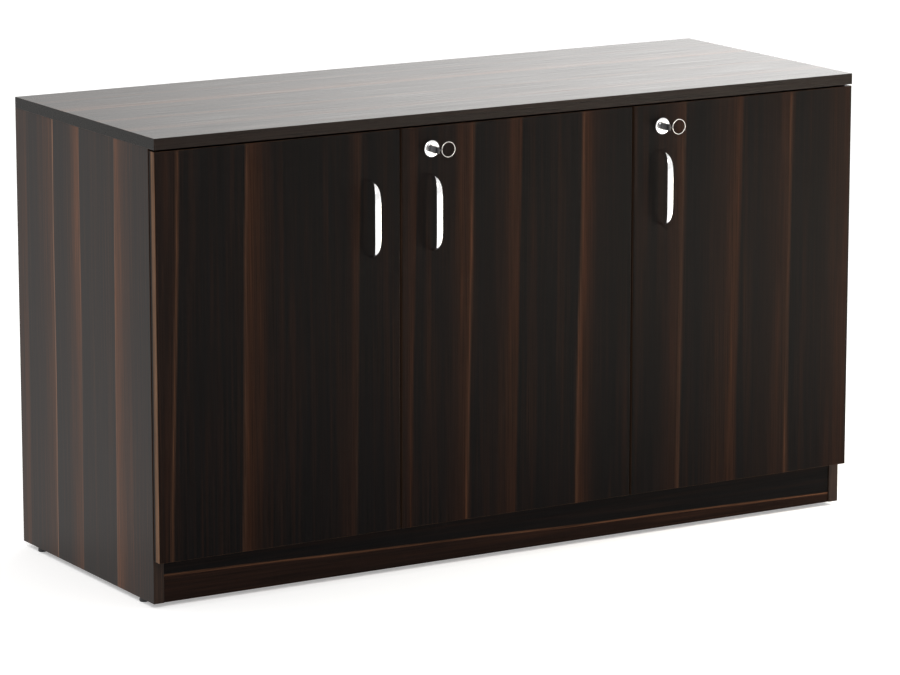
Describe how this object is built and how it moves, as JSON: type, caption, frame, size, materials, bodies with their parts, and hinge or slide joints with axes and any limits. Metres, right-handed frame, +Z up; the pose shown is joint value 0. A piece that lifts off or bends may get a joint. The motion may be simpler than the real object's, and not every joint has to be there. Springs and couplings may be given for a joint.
{
  "type": "office credenza",
  "caption": "Low office credenza with hinged doors, bow handles and cam locks on a dark striped laminate carcass with shelves, skirting and glide feet.",
  "frame": {"origin": "on the floor, below the centre of the whole box, handles included", "axes": "+X along the width with the doors' front seen from -Y, +Y to the back, +Z up"},
  "size_m": [1.315, 0.518, 0.75],
  "materials": {
    "laminate_top": "semi-gloss dark striped laminate, grain along the width",
    "laminate_upright": "semi-gloss dark striped laminate, upright grain",
    "laminate_door": "semi-gloss dark striped laminate, upright grain",
    "laminate_flat": "semi-gloss dark striped laminate, grain along the width",
    "laminate_skirting": "semi-gloss dark striped laminate, grain along the width",
    "chrome": "polished chrome plate",
    "hinge_steel": "nickel-plated pressed steel",
    "black_plastic": "moulded black plastic"
  },
  "bodies": {
    "carcass": {"top_panel": "laminate_top", "left_side": "laminate_upright", "right_side": "laminate_upright", "bottom_panel": "laminate_flat", "partition": "laminate_upright", "back_panel": "laminate_upright", "skirting": "laminate_skirting", "left_shelf": "laminate_flat", "right_shelf": "laminate_flat", "left_shelf_front_left_peg": "hinge_steel", "left_shelf_front_right_peg": "hinge_steel", "left_shelf_rear_left_peg": "hinge_steel", "left_shelf_rear_right_peg": "hinge_steel", "right_shelf_front_left_peg": "hinge_steel", "right_shelf_front_right_peg": "hinge_steel", "right_shelf_rear_left_peg": "hinge_steel", "right_shelf_rear_right_peg": "hinge_steel", "front_left_foot": "black_plastic", "front_right_foot": "black_plastic", "rear_left_foot": "black_plastic", "rear_right_foot": "black_plastic", "left_door_lower_hinge_arm": "hinge_steel", "left_door_lower_hinge_plate": "hinge_steel", "left_door_upper_hinge_arm": "hinge_steel", "left_door_upper_hinge_plate": "hinge_steel", "middle_door_lower_hinge_arm": "hinge_steel", "middle_door_lower_hinge_plate": "hinge_steel", "middle_door_upper_hinge_arm": "hinge_steel", "middle_door_upper_hinge_plate": "hinge_steel", "middle_door_lock_strike": "hinge_steel", "right_door_lower_hinge_arm": "hinge_steel", "right_door_lower_hinge_plate": "hinge_steel", "right_door_upper_hinge_arm": "hinge_steel", "right_door_upper_hinge_plate": "hinge_steel", "right_door_lock_strike": "hinge_steel"},
    "tower_bolt": {"tower_bolt_rod": "hinge_steel"},
    "left_door_leaf": {"left_door": "laminate_door", "left_door_handle": "chrome", "left_door_lower_hinge_cup": "hinge_steel", "left_door_upper_hinge_cup": "hinge_steel", "tower_bolt_guide": "hinge_steel"},
    "middle_door_lock": {"middle_door_lock_plug": "chrome", "middle_door_lock_cam": "hinge_steel", "middle_door_lock_key": "black_plastic"},
    "middle_door_key_ring": {"middle_door_lock_key_ring": "chrome"},
    "middle_door_leaf": {"middle_door": "laminate_door", "middle_door_handle": "chrome", "middle_door_lower_hinge_cup": "hinge_steel", "middle_door_upper_hinge_cup": "hinge_steel", "middle_door_lock_housing": "chrome"},
    "right_door_lock": {"right_door_lock_plug": "chrome", "right_door_lock_cam": "hinge_steel", "right_door_lock_key": "black_plastic"},
    "right_door_key_ring": {"right_door_lock_key_ring": "chrome"},
    "right_door_leaf": {"right_door": "laminate_door", "right_door_handle": "chrome", "right_door_lower_hinge_cup": "hinge_steel", "right_door_upper_hinge_cup": "hinge_steel", "right_door_lock_housing": "chrome"}
  },
  "joints": [
    {"name": "left_door_swing", "type": "hinge", "parent": "carcass", "child": "left_door_leaf", "pos_m": [-0.6495, -0.223, 0.4035], "axis": [0, 0, -1], "range_deg": [0, 100]},
    {"name": "middle_door_swing", "type": "hinge", "parent": "carcass", "child": "middle_door_leaf", "pos_m": [0.21017, -0.223, 0.4035], "axis": [0, 0, 1], "range_deg": [0, 100]},
    {"name": "right_door_swing", "type": "hinge", "parent": "carcass", "child": "right_door_leaf", "pos_m": [0.6495, -0.223, 0.4035], "axis": [0, 0, 1], "range_deg": [0, 100]},
    {"name": "middle_door_lock_turn", "type": "hinge", "parent": "middle_door_leaf", "child": "middle_door_lock", "pos_m": [-0.16417, -0.231, 0.693], "axis": [0, -1, 0], "range_deg": [0, 90]},
    {"name": "middle_door_key_fold", "type": "hinge", "parent": "middle_door_lock", "child": "middle_door_key_ring", "pos_m": [-0.16417, -0.253, 0.693], "axis": [0, 0, -1], "range_deg": [0, 180]},
    {"name": "right_door_lock_turn", "type": "hinge", "parent": "right_door_leaf", "child": "right_door_lock", "pos_m": [0.27517, -0.231, 0.693], "axis": [0, -1, 0], "range_deg": [0, 90]},
    {"name": "right_door_key_fold", "type": "hinge", "parent": "right_door_lock", "child": "right_door_key_ring", "pos_m": [0.27517, -0.253, 0.693], "axis": [0, 0, -1], "range_deg": [0, 180]},
    {"name": "tower_bolt_slide", "type": "slide", "parent": "left_door_leaf", "child": "tower_bolt", "axis": [0, 0, 1], "range_m": [0, 0.013]}
  ]
}
